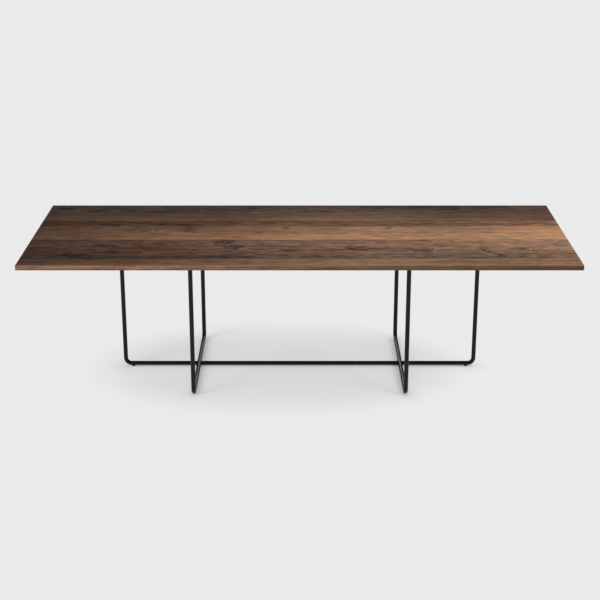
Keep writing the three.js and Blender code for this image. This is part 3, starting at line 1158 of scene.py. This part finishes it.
@dataclass
class TubeBase:
    """The bent tubes: two cross frames, two end legs and the stretcher between them.

    Attributes:
        paint: The tubes' material.
        bend_radius: Radius of a bend, along the tube's centre line.
        sides: How many sides a tube has.
        bend_steps: How many lengths a bend has.
        buried: How far a bar or a weld goes into the tube that it meets.
        weld_leg: Height and width of a weld.
        weld_sag: How full a weld is, as a share of its leg.
        bush_gap: Room round a bush in its hole.
        drill_spare: How much longer a hole is than what is in it.
        slot: The record's slot of the paint; not used.
        radius: Outer radius of the tubes.
        leg_top: Height of the legs.
        bar_axis: Height of the floor bars' centre line.
        cross_x: Distance of the cross frames from the middle.
        end_x: Distance of the end legs from the middle.
        leg_y: Distance of the cross frames' legs from the middle.
    """

    paint: Material
    bend_radius: float = 0.030
    sides: int = 48
    bend_steps: int = 14
    buried: float = 0.004
    weld_leg: float = 0.003
    weld_sag: float = 0.3
    bush_gap: float = 0.0001
    drill_spare: float = 0.001
    slot: str = "black_paint"
    radius: float = field(init=False)
    leg_top: float = field(init=False)
    bar_axis: float = field(init=False)
    cross_x: float = field(init=False)
    end_x: float = field(init=False)
    leg_y: float = field(init=False)

    def __post_init__(self) -> None:
        """Read the tubes' sizes from the frame."""
        low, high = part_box("cross_frame_right")
        self.radius = (high.x - low.x) / 2
        self.leg_top = high.z
        self.bar_axis = low.z + self.radius
        self.cross_x = (low.x + high.x) / 2
        self.leg_y = high.y - self.radius
        self.end_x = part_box("end_leg_right")[1].x - self.radius

    def tube(self, corners: Sequence[Vector]) -> Mesh:
        """A round tube through corners, with a right-angle bend at each inner one.

        Args:
            corners: The ends and the corners between them.

        Returns:
            The closed mesh.
        """
        mesh = bmesh.new()
        here = corners[0].copy()
        heading = (corners[1] - here).normalized()
        place = Matrix.Translation(here) @ heading.to_track_quat("Z", "Y").to_matrix().to_4x4()
        circle(mesh, self.sides, self.radius, place)
        ring = list(mesh.edges)
        for corner, after in zip(corners[1:], corners[2:]):
            turn_to = (after - corner).normalized()
            stop = corner - heading * self.bend_radius
            ring = drawn_out(mesh, ring, stop - here)
            geometry = ring + list(dict.fromkeys(vert for edge in ring for vert in edge.verts))
            made = bmesh.ops.spin(
                mesh,
                geom=geometry,
                cent=stop + turn_to * self.bend_radius,
                axis=heading.cross(turn_to),
                angle=math.pi / 2,
                steps=self.bend_steps,
                use_merge=False,
            )
            ring = [part for part in made["geom_last"] if isinstance(part, Edge)]
            here = corner + turn_to * self.bend_radius
            heading = turn_to
        drawn_out(mesh, ring, corners[-1] - here)
        bmesh.ops.holes_fill(mesh, edges=mesh.edges)
        return mesh

    def bored(self, mesh: Mesh, side: Side, places: Iterable[FootPlace]) -> Mesh:
        """Cut the holes for the glides' bushes and studs into a floor bar.

        Args:
            mesh: The plain tube, which is freed.
            side: The side that it is on.
            places: The glides in it.

        Returns:
            The bored tube.
        """
        drill = bmesh.new()
        for place in places:
            name = f"{side.word}_{place.value}"
            low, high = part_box(f"glide_bush_{name}")
            bottom = low.z - self.drill_spare
            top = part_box(f"glide_stud_{name}")[1].z + self.drill_spare
            radius = (high.x - low.x) / 2 + self.bush_gap
            middle = (low + high) / 2
            middle.z = (bottom + top) / 2
            bmesh.ops.create_cone(
                drill,
                cap_ends=True,
                segments=self.sides,
                radius1=radius,
                radius2=radius,
                depth=top - bottom,
                matrix=Matrix.Translation(middle),
            )
        tube = placed("plain_tube", meshed("plain_tube", mesh))
        cutter = placed("drill", meshed("drill", drill))
        cut = tube.modifiers.new("bore", "BOOLEAN")
        cut.operation = "DIFFERENCE"
        cut.solver = "EXACT"
        cut.object = cutter
        result = bmesh.new()
        result.from_object(tube, bpy.context.evaluated_depsgraph_get())
        for data in (tube.data, cutter.data):
            bpy.data.meshes.remove(data)
        return result

    def weld(self, mesh: Mesh, x: float, y: float) -> None:
        """Add the bead of weld round a leg's top, under its rail.

        Args:
            mesh: The mesh that gets it.
            x: The leg's place along the table.
            y: The leg's place across the table.
        """
        reach = self.radius + self.weld_leg
        inside = self.radius - self.buried
        sag = self.weld_sag * self.weld_leg
        profile = (
            (inside, 0.0),
            (reach, 0.0),
            (self.radius + sag, -sag),
            (self.radius, -self.weld_leg),
            (inside, -self.weld_leg),
            (inside, 0.0),
        )
        bead = turned_profile(profile, Vector((x, y, self.leg_top)), self.sides, closed=False)
        data = meshed("weld_bead", bead)
        mesh.from_mesh(data)
        bpy.data.meshes.remove(data)

    def build(self) -> dict[Side, list[Piece]]:
        """Make and dress every tube.

        Returns:
            The tubes of each side, with the stretcher among the left ones.
        """
        pieces: dict[Side, list[Piece]] = {side: [] for side in Side}
        floor_bar = Vector((0.0, 0.0, self.bar_axis))
        head = Vector((0.0, 0.0, self.leg_top))
        bar_end = self.cross_x + self.radius - self.buried
        for side in Side:
            sign = side.value
            frame_at = Vector((sign * self.cross_x, 0.0, 0.0))
            leg_at = Vector((sign * self.end_x, 0.0, 0.0))
            across = Vector((0.0, self.leg_y, 0.0))
            u_shape = [
                frame_at + across + head,
                frame_at + across + floor_bar,
                frame_at - across + floor_bar,
                frame_at - across + head,
            ]
            cross_frame = self.bored(self.tube(u_shape), side, (FootPlace.BACK, FootPlace.FRONT))
            self.weld(cross_frame, frame_at.x, self.leg_y)
            self.weld(cross_frame, frame_at.x, -self.leg_y)
            l_shape = [leg_at + head, leg_at + floor_bar, Vector((sign * bar_end, 0.0, self.bar_axis))]
            end_leg = self.bored(self.tube(l_shape), side, (FootPlace.END,))
            self.weld(end_leg, leg_at.x, 0.0)
            for kind, mesh in (("cross_frame", cross_frame), ("end_leg", end_leg)):
                name = f"{kind}_{side.word}"
                pieces[side].append(set_down(f"{name}_tube", mesh, self.paint, name))
        reach = Vector((self.cross_x - self.radius + self.buried, 0.0, 0.0))
        stretcher = self.tube([floor_bar - reach, floor_bar + reach])
        bar = set_down("stretcher_tube", stretcher, self.paint, "centre_stretcher")
        pieces[Side.LEFT].append(bar)
        return pieces


@dataclass
class RailSet:
    """The flat rails under the top, with their slots and wood screws.

    Attributes:
        paint: The rails' material.
        zinc: The screws' material.
        screws_per_rail: How many screws a rail has.
        slot_width: Width of a slot.
        slot_movement: How far a screw can move along its slot.
        shank_gap: Room on each side of a screw in its slot.
        point_length: Length of a screw's point.
        edge_ease: Rounding of a rail's lower edges.
        ease_steps: How many faces that rounding has.
        head_dome: Rounding of a screw's head.
        dome_steps: How many faces that rounding has.
        socket_width: Width of the socket in a screw's head, over its corners.
        socket_depth: Depth of the socket.
        socket_sides: How many sides the socket has.
        socket_lip: Radius of the flat face round the socket.
        sides: How many sides a slot's ends and a screw have.
    """

    paint: Material
    zinc: Material
    screws_per_rail: int = 4
    slot_width: float = 0.0056
    slot_movement: float = 0.006
    shank_gap: float = 0.0003
    point_length: float = 0.005
    edge_ease: float = 0.0006
    ease_steps: int = 2
    head_dome: float = 0.0016
    dome_steps: int = 6
    socket_width: float = 0.0034
    socket_depth: float = 0.0018
    socket_sides: int = 6
    socket_lip: float = 0.00255
    sides: int = 24

    def screw_nodes(self, rail: str) -> list[str]:
        """The nodes of a rail's screws."""
        return [f"{rail}_screw_{number}" for number in range(1, self.screws_per_rail + 1)]

    def rail(self, node: str) -> Mesh:
        """A flat bar with a slot at each screw.

        Args:
            node: The rail's node.

        Returns:
            The mesh.
        """
        low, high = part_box(node)
        mesh = bmesh.new()
        corners = [(low.x, low.y), (high.x, low.y), (high.x, high.y), (low.x, high.y)]
        outline = [mesh.verts.new((x, y, low.z)) for x, y in corners]
        rim = [mesh.edges.new((outline[i - 1], outline[i])) for i in range(len(outline))]
        for screw in self.screw_nodes(node):
            centre = middle_of(screw)
            place = Matrix.Translation((centre.x, centre.y, low.z))
            for corner in circle(mesh, self.sides, self.slot_width / 2, place):
                corner.co.y += math.copysign(self.slot_movement / 2, corner.co.y - centre.y)
        bmesh.ops.triangle_fill(mesh, use_beauty=True, use_dissolve=False, edges=mesh.edges)
        rim = [edge for edge in rim if edge.is_valid]
        made = bmesh.ops.extrude_face_region(mesh, geom=mesh.faces[:])["geom"]
        lifted = [part for part in made if isinstance(part, bmesh.types.BMVert)]
        bmesh.ops.translate(mesh, verts=lifted, vec=(0.0, 0.0, high.z - low.z))
        bmesh.ops.recalc_face_normals(mesh, faces=mesh.faces)
        rounded(mesh, rim, self.edge_ease, self.ease_steps)
        return mesh

    def screw(self, node: str) -> Mesh:
        """A pan-head wood screw with a six-sided socket in its head.

        Args:
            node: The screw's node.

        Returns:
            The mesh.
        """
        low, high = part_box(node)
        rail_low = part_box(node.rsplit("_screw_", 1)[0])[0].z
        centre = (low + high) / 2
        foot = Vector((centre.x, centre.y, 0.0))
        head = (high.x - low.x) / 2
        shank = self.slot_width / 2 - self.shank_gap
        dome = [
            (head - self.head_dome * (1 - math.sin(angle)), low.z + self.head_dome * (1 - math.cos(angle)))
            for angle in quarter_turn(self.dome_steps)
        ]
        profile = [
            (self.socket_lip, low.z),
            *dome,
            (head, rail_low),
            (shank, rail_low),
            (shank, high.z - self.point_length),
            (0.0, high.z),
        ]
        mesh = turned_profile(profile, foot, self.sides, closed=False)
        open_rim = [edge for edge in mesh.edges if edge.is_boundary]
        place = Matrix.Translation((centre.x, centre.y, low.z))
        circle(mesh, self.socket_sides, self.socket_width / 2, place)
        hexagon = [edge for edge in mesh.edges if edge.is_wire]
        bmesh.ops.bridge_loops(mesh, edges=open_rim + hexagon)
        drawn_out(mesh, hexagon, Vector((0.0, 0.0, self.socket_depth)))
        bmesh.ops.holes_fill(mesh, edges=mesh.edges)
        return mesh

    def build(self) -> None:
        """Make and dress the rails and their screws."""
        for side in Side:
            for kind in RailKind:
                rail = f"{kind.value}_rail_{side.word}"
                set_down(f"{rail}_bar", self.rail(rail), self.paint, rail)
                for node in self.screw_nodes(rail):
                    set_down(f"{node}_body", self.screw(node), self.zinc, node)


@dataclass
class GlideSet:
    """The six levelling glides: fluted pads on studs that turn in the tubes' bushes.

    Attributes:
        plastic: The pads' material.
        zinc: The material of the studs, bushes and spigots.
        black_steel: The grub screws' material.
        seat_radius: Radius of the seat for the stud in a pad.
        seat_depth: Depth of that seat.
        foot_round: Rounding of a pad's rims.
        round_steps: How many faces that rounding has.
        flute_depth: Depth of the flutes round a pad.
        flutes: How many flutes a pad has.
        crease: Edges of a pad sharper than this many degrees stay sharp.
    """

    plastic: Material
    zinc: Material
    black_steel: Material
    seat_radius: float = 0.0033
    seat_depth: float = 0.0019
    foot_round: float = 0.0009
    round_steps: int = 3
    flute_depth: float = 0.00035
    flutes: int = 30
    crease: float = 50.0

    def pad(self, node: str) -> Mesh:
        """A round pad with a fluted rim, so that fingers can turn it.

        Args:
            node: The pad's node.

        Returns:
            The mesh.
        """
        low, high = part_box(node)
        radius = (high.x - low.x) / 2
        height = high.z - low.z
        inner = radius - self.foot_round
        steps = [
            (self.foot_round * math.sin(angle), self.foot_round * (1 - math.cos(angle)))
            for angle in quarter_turn(self.round_steps)
        ]
        profile = [
            (0.0, 0.0),
            *((inner + out, rise) for out, rise in steps),
            *((inner + out, height - rise) for out, rise in reversed(steps)),
            (self.seat_radius, height),
            (self.seat_radius, height - self.seat_depth),
            (0.0, height - self.seat_depth),
        ]
        centre = middle_of(node)
        centre.z = low.z
        mesh = turned_profile(profile, centre, 2 * self.flutes)
        for corner in mesh.verts:
            arm = (corner.co - centre).to_2d()
            if arm.length > radius - self.foot_round / 2:
                turn = round(math.atan2(arm.y, arm.x) / math.tau * 2 * self.flutes)
                if turn % 2:
                    arm.length -= self.flute_depth
                    corner.co.x, corner.co.y = centre.x + arm.x, centre.y + arm.y
        return mesh

    def build(self) -> None:
        """Make the pads and finish the studs, bushes, spigots and grub screws."""
        for side in Side:
            for place in FootPlace:
                name = f"{side.word}_{place.value}"
                node = f"glide_pad_{name}"
                body = f"{name}_pad"
                pad = self.pad(node)
                set_down(f"{node}_foot", pad, self.plastic, node, body, self.crease)
                repaint([f"glide_stud_{name}", f"glide_bush_{name}"], self.zinc)
            repaint([f"spigot_{side.word}"], self.zinc)
            repaint([f"grub_screw_{side.word}_{end}" for end in ("inner", "outer")], self.black_steel)


def gathered(name: str, pieces: Iterable[Piece]) -> bpy.types.Collection:
    """Put pieces into a collection of their own, for lamps to name.

    Args:
        name: The collection's name.
        pieces: The pieces.

    Returns:
        The collection.
    """
    collection = bpy.data.collections.new(name)
    for piece in pieces:
        collection.objects.link(piece)
    return collection


class Glow(Enum):
    """Colours of the lamps."""

    WHITE = (1.0, 1.0, 1.0)
    WARM = (1.0, 0.93, 0.85)
    DAY = (0.95, 0.97, 1.0)
    COOL = (0.9, 0.96, 1.0)
    BLUE = (0.5, 0.78, 1.0)


@dataclass(frozen=True)
class Lamp:
    """A soft lamp of the studio.

    Attributes:
        name: Its name.
        kind: SUN or AREA.
        place: Where it stands.
        target: What it points at.
        power: Its strength.
        size: Its angle in radians for SUN, its width for AREA.
        lit: What it shines on.
        glow: Its colour.
        shadows_of: The side whose tubes alone stop its light, or None for every piece.
    """

    name: str
    kind: str
    place: Triple
    target: Triple
    power: float
    size: float
    lit: Lit = Lit.ALL
    glow: Glow = Glow.WHITE
    shadows_of: Optional[Side] = None

    def build(self) -> Piece:
        """Hang the lamp.

        Returns:
            The lamp's object.
        """
        data = bpy.data.lights.new(self.name, self.kind)
        data.energy = self.power
        data.color = self.glow.value
        if self.kind == "SUN":
            data.angle = self.size
        else:
            data.shape = "DISK"
            data.size = self.size
        lamp = placed(self.name, data)
        lamp.location = self.place
        heading = Vector(self.target) - Vector(self.place)
        lamp.rotation_euler = heading.to_track_quat("-Z", "Y").to_euler()
        return lamp


@dataclass
class Studio:
    """The pale floor, the soft light and the camera of the photograph's view.

    Attributes:
        floor_reach: Half the floor's width.
        floor_brightness: Brightness of the open floor and of the backdrop.
        floor_diffuse: How much of the lamps' light the floor returns near the table.
        floor_roughness: Roughness of the floor.
        open_light: Light that the lamps give the open floor.
        contact_reach: How far from a piece the floor's painted contact shadow reaches.
        contact_depth: How strong that painted shadow is.
        shadow_middle: Middle of the stretch of floor that shows the lamps' shadows.
        shadow_reach: Half the size of that stretch.
        shadow_core: The share of it from which the shadows fade.
        dome_colour: Colour of the dome.
        dome_heights: Heights of the dome over which its light rises.
        dome_light: Strength of the light at those heights.
        back_depths: Depths of the dome over which its light falls towards the back.
        back_light: Factors of the light at those depths.
        camera_place: Where the camera stands.
        camera_pitch: How far the camera looks down, in degrees.
        focal_pixels: The camera's focal length in pixels of the picture.
        picture_pixels: Width of the picture in pixels.
        sensor: Width of the camera's sensor in millimetres.
        lamps: The lamps.
    """

    floor_reach: float = 60.0
    floor_brightness: float = 0.827
    floor_diffuse: float = 0.19
    floor_roughness: float = 0.9
    open_light: float = 2.1
    contact_reach: float = 0.1
    contact_depth: float = 0.7
    shadow_middle: tuple[float, float] = (-0.12, 0.0)
    shadow_reach: tuple[float, float] = (1.08, 0.78)
    shadow_core: float = 0.6
    dome_colour: Triple = (0.97, 0.99, 1.0)
    dome_heights: tuple[float, float] = (0.0, 0.95)
    dome_light: tuple[float, float] = (0.08, 0.5)
    back_depths: tuple[float, float] = (-0.3, 0.9)
    back_light: tuple[float, float] = (1.0, 0.25)
    camera_place: Triple = (0.0018, -6.56946, 2.73031)
    camera_pitch: float = 19.776
    focal_pixels: float = 1343.01
    picture_pixels: float = 600.0
    sensor: float = 36.0
    lamps: tuple[Lamp, ...] = (
        Lamp("overhead_sun", "SUN", (0.6, 0.3, 5.0), ORIGIN, 2.1, 0.9),
        Lamp("left_sun", "SUN", (-2.6, -2.2, 2.0), ORIGIN, 3.9, 0.5, Lit.FLOOR, shadows_of=Side.LEFT),
        Lamp("right_sun", "SUN", (2.6, -2.2, 2.0), ORIGIN, 3.9, 0.5, Lit.FLOOR, shadows_of=Side.RIGHT),
        Lamp("window", "AREA", (3.0, 0.2, 2.3), (0.5, 0.0, 0.73), 30.0, 1.6, Lit.TOP, Glow.WARM),
        Lamp("edge_light", "AREA", (-1.1, -2.3, 0.62), (-0.8, -0.525, 0.71), 56.0, 0.8, Lit.TOP, Glow.DAY),
        Lamp("back_panel", "AREA", (0.0, 3.4, 1.5), (0.0, 0.0, 0.05), 30.0, 2.4, Lit.BASE, Glow.COOL),
        Lamp("left_panel", "AREA", (-3.2, -2.6, 1.0), (0.0, 0.0, 0.35), 40.0, 1.2, Lit.BASE, Glow.BLUE),
    )

    def camera(self) -> None:
        """Stand the camera where the photograph was taken from."""
        data = bpy.data.cameras.new("photo_camera")
        data.sensor_width = self.sensor
        data.lens = self.focal_pixels / self.picture_pixels * self.sensor
        data.clip_end = 3 * self.floor_reach
        camera = placed("photo_camera", data)
        camera.location = self.camera_place
        camera.rotation_euler = (math.radians(90.0 - self.camera_pitch), 0.0, 0.0)
        bpy.context.scene.camera = camera

    def floor(self) -> Piece:
        """Lay the plain floor, which glows so that only a soft shadow is left in the middle, with a painted
        contact shadow where pieces stand close over it.

        Returns:
            The floor.
        """
        mesh = bmesh.new()
        bmesh.ops.create_grid(mesh, x_segments=1, y_segments=1, size=self.floor_reach)
        graph = SurfaceGraph("pale_floor")
        from_middle = graph.vector_math("SUBTRACT", graph.place, (*self.shadow_middle, 0.0))
        reach_x, reach_y = self.shadow_reach
        from_middle = graph.vector_math("MULTIPLY", from_middle, (1 / reach_x, 1 / reach_y, 0.0))
        away = graph.vector_math("LENGTH", from_middle)
        diffuse = graph.remap(away, self.shadow_core, 1.0, self.floor_diffuse, 0.0)
        glow = graph.math("SUBTRACT", self.floor_brightness, graph.product(diffuse, self.open_light))
        # Painted contact shadow: the floor's glow darkens near the pieces
        contact = graph.add("ShaderNodeAmbientOcclusion")
        graph.feed(contact.inputs["Distance"], self.contact_reach)
        glow = graph.product(glow, graph.math("POWER", contact.outputs["AO"], self.contact_depth))
        graph.surface(Base_Color=graph.grey(diffuse), Roughness=self.floor_roughness)
        graph.surface(Emission_Color=(1.0, 1.0, 1.0, 1.0), Emission_Strength=glow)
        graph.surface(Specular_IOR_Level=0.0)
        data = meshed("floor", mesh)
        data.materials.append(graph.material)
        floor = placed("floor", data)
        return floor

    def sky(self) -> None:
        """A soft dome that is bright overhead and dim low down behind the table."""
        world = bpy.data.worlds.new("soft_dome")
        world.use_nodes = True
        graph = NodeGraph(world.node_tree, "Generated")
        _, depth, height = graph.split(graph.place)
        overhead = graph.remap(height, *self.dome_heights, *self.dome_light, smooth=False)
        behind = graph.remap(depth, *self.back_depths, *self.back_light, smooth=False)
        light = graph.product(overhead, behind)
        seen = graph.add("ShaderNodeLightPath").outputs["Is Camera Ray"]
        background = graph.add("ShaderNodeBackground")
        graph.feed(background.inputs["Color"], (*self.dome_colour, 1.0))
        strength = graph.remap(seen, 0.0, 1.0, light, self.floor_brightness, smooth=False)
        graph.feed(background.inputs["Strength"], strength)
        graph.feed(graph.add("ShaderNodeOutputWorld").inputs["Surface"], background.outputs[0])
        bpy.context.scene.world = world

    def lights(self, top: list[Piece], tubes: dict[Side, list[Piece]]) -> None:
        """Hang the lamps, some of which shine on part of the scene only.

        Args:
            top: The boards.
            tubes: The tubes of each side.
        """
        base = [piece for pieces in tubes.values() for piece in pieces]
        receivers = {
            Lit.TOP: gathered("lit_top", top),
            Lit.BASE: gathered("lit_base", base),
            Lit.FLOOR: gathered("lit_floor", [self.floor()]),
        }
        blockers = {side: gathered(f"tubes_{side.word}", pieces) for side, pieces in tubes.items()}
        for lamp in self.lamps:
            hung = lamp.build()
            if lamp.lit in receivers:
                hung.light_linking.receiver_collection = receivers[lamp.lit]
            if lamp.shadows_of in blockers:
                hung.light_linking.blocker_collection = blockers[lamp.shadows_of]
            LOG.info("lamp %s", lamp.name)

    def build(self, top: list[Piece], tubes: dict[Side, list[Piece]]) -> None:
        """Set the floor and the lights.

        Args:
            top: The boards.
            tubes: The tubes of each side.
        """
        bpy.context.scene.view_settings.view_transform = "Standard"
        self.sky()
        self.lights(top, tubes)


BOARD_FINISHES = (
    WoodFinish(
        pale=(0.14, 0.092, 0.067),
        body=(0.074, 0.048, 0.036),
        deep=(0.018, 0.012, 0.009),
        shades=(0.62, 1.03, 0.69),
        front_shade=1.06,
        back_shade=0.94,
        figure=0.55,
        patchiness=0.55,
        mottle=0.72,
        knots=(
            Mark(-1.27, 0.47, 0.06, 0.03, 0.75),
            Mark(-1.09, 0.41, 0.08, 0.025, 0.75),
            Mark(-0.92, 0.40, 0.06, 0.02, 0.3),
            Mark(0.43, 0.47, 0.05, 0.014, 0.5),
            Mark(0.75, 0.49, 0.2, 0.02, 0.4),
        ),
    ),
    WoodFinish(
        pale=(0.22, 0.13, 0.084),
        body=(0.138, 0.079, 0.051),
        deep=(0.06, 0.034, 0.023),
        shades=(0.42, 1.0, 0.68),
        front_shade=1.12,
        back_shade=0.86,
        figure=0.35,
        patchiness=0.45,
        mottle=0.66,
        pith_offset=-0.2,
    ),
    WoodFinish(
        pale=(0.26, 0.145, 0.088),
        body=(0.15, 0.081, 0.049),
        deep=(0.045, 0.025, 0.017),
        shades=(0.25, 0.93, 1.36),
        front_shade=1.1,
        back_shade=0.86,
        figure=0.5,
        patchiness=0.5,
        mottle=0.7,
        knots=(
            Mark(-0.99, 0.16, 0.08, 0.025, 0.6),
            Mark(-0.72, 0.15, 0.06, 0.025, 0.6),
            Mark(-0.6, 0.15, 0.1, 0.03, 0.65),
            Mark(0.46, 0.15, 0.03, 0.015, 0.4),
        ),
    ),
    WoodFinish(
        pale=(0.455, 0.25, 0.142),
        body=(0.31, 0.165, 0.092),
        deep=(0.14, 0.075, 0.043),
        left_tint=(1.06, 1.02, 1.1),
        shades=(0.28, 1.06, 1.11),
        front_shade=1.15,
        back_shade=0.73,
        figure=0.4,
        patchiness=0.35,
        mottle=0.7,
        pith_offset=0.25,
        flecks=0.5,
        knots=(
            Mark(-0.57, 0.08, 0.07, 0.06, 0.6, 0.5),
            Mark(-0.74, 0.09, 0.18, 0.035, 0.36),
            Mark(-0.84, 0.07, 0.13, 0.035, 0.3),
            Mark(-0.07, 0.1, 0.025, 0.035, 0.6),
            Mark(0.46, 0.1, 0.028, 0.035, 0.65),
        ),
        scratches=(
            Mark(-0.837, 0.032, 0.013, 0.014, 0.9),
            Mark(-0.813, 0.068, 0.012, 0.005, 0.7),
            Mark(-0.756, 0.047, 0.035, 0.010, 0.85, -1.43),
            Mark(-0.706, 0.044, 0.024, 0.009, 0.8, -1.25),
            Mark(-0.686, 0.066, 0.016, 0.007, 0.6, -1.1),
        ),
    ),
    WoodFinish(
        pale=(0.33, 0.193, 0.128),
        body=(0.19, 0.108, 0.071),
        deep=(0.042, 0.024, 0.017),
        left_tint=(1.04, 0.88, 0.88),
        shades=(0.32, 0.98, 1.22),
        front_shade=0.64,
        back_shade=1.1,
        figure=0.6,
        patchiness=0.4,
        mottle=0.82,
        ring_gap=0.009,
        flecks=0.5,
        knots=(
            Mark(-0.36, -0.14, 0.07, 0.035, 0.8),
            Mark(-0.32, -0.23, 0.07, 0.06, 0.6),
            Mark(-1.1, -0.37, 0.12, 0.035, 0.85),
            Mark(-0.97, -0.21, 0.07, 0.02, 0.6),
            Mark(-0.7, -0.395, 0.35, 0.03, 0.5),
            Mark(-0.38, -0.39, 0.24, 0.03, 0.6),
            Mark(0.15, -0.39, 0.3, 0.02, 0.3),
            Mark(-0.05, -0.29, 0.07, 0.03, 0.65),
            Mark(0.27, -0.24, 0.08, 0.05, 0.6),
            Mark(0.62, -0.29, 0.08, 0.035, 0.55),
            Mark(0.92, -0.3, 0.09, 0.02, 0.68, -0.9),
            Mark(0.975, -0.355, 0.032, 0.015, 0.8),
            Mark(1.12, -0.26, 0.07, 0.025, 0.6),
        ),
        scratches=(
            Mark(-0.727, -0.32, 0.06, 0.009, 0.85),
            Mark(-0.56, -0.305, 0.014, 0.005, 0.7),
            Mark(-0.44, -0.174, 0.015, 0.009, 0.75),
            Mark(-0.32, -0.157, 0.038, 0.009, 0.75),
            Mark(-0.285, -0.256, 0.042, 0.007, 0.75),
            Mark(-0.126, -0.272, 0.024, 0.006, 0.75),
            Mark(0.181, -0.288, 0.012, 0.006, 0.5, -0.4),
            Mark(0.34, -0.337, 0.036, 0.006, 0.75),
            Mark(0.664, -0.294, 0.022, 0.007, 0.6, -1.3),
            Mark(0.875, -0.207, 0.022, 0.005, 0.5),
            Mark(0.918, -0.28, 0.02, 0.005, 0.4, 1.4),
            Mark(1.139, -0.264, 0.018, 0.007, 0.6, -1.3),
        ),
    ),
    WoodFinish(
        pale=(0.31, 0.186, 0.118),
        body=(0.205, 0.119, 0.075),
        deep=(0.09, 0.05, 0.034),
        left_tint=(1.0, 0.92, 0.94),
        shades=(0.34, 1.02, 0.78),
        figure=0.4,
        patchiness=0.5,
        mottle=0.54,
    ),
)


def main() -> None:
    """Build the table piece by piece, then the studio round it."""
    logging.basicConfig(level=logging.INFO, format="%(name)s: %(message)s")
    paint = PaintFinish().material("black_paint")
    zinc = SteelFinish((0.56, 0.57, 0.57), (0.4, 0.41, 0.4)).material("zinc_steel")
    black_steel = SteelFinish((0.05, 0.05, 0.052), (0.03, 0.03, 0.031), 0.32).material("black_steel")
    plastic = PlasticFinish().material("black_plastic")
    beech = WoodFinish((0.62, 0.42, 0.25), (0.48, 0.3, 0.16), (0.33, 0.19, 0.09), (1.0, 1.0, 1.0))
    tongue_low, tongue_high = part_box("board_tongue_1")
    studio = Studio()
    studio.camera()
    boards = TableTop(BOARD_FINISHES).build(beech.material("tongue_wood", tongue_low, tongue_high, 1.3))
    tubes = TubeBase(paint).build()
    RailSet(paint, zinc).build()
    GlideSet(plastic, zinc, black_steel).build()
    studio.build(boards, tubes)


if __name__ == "__main__":
    main()
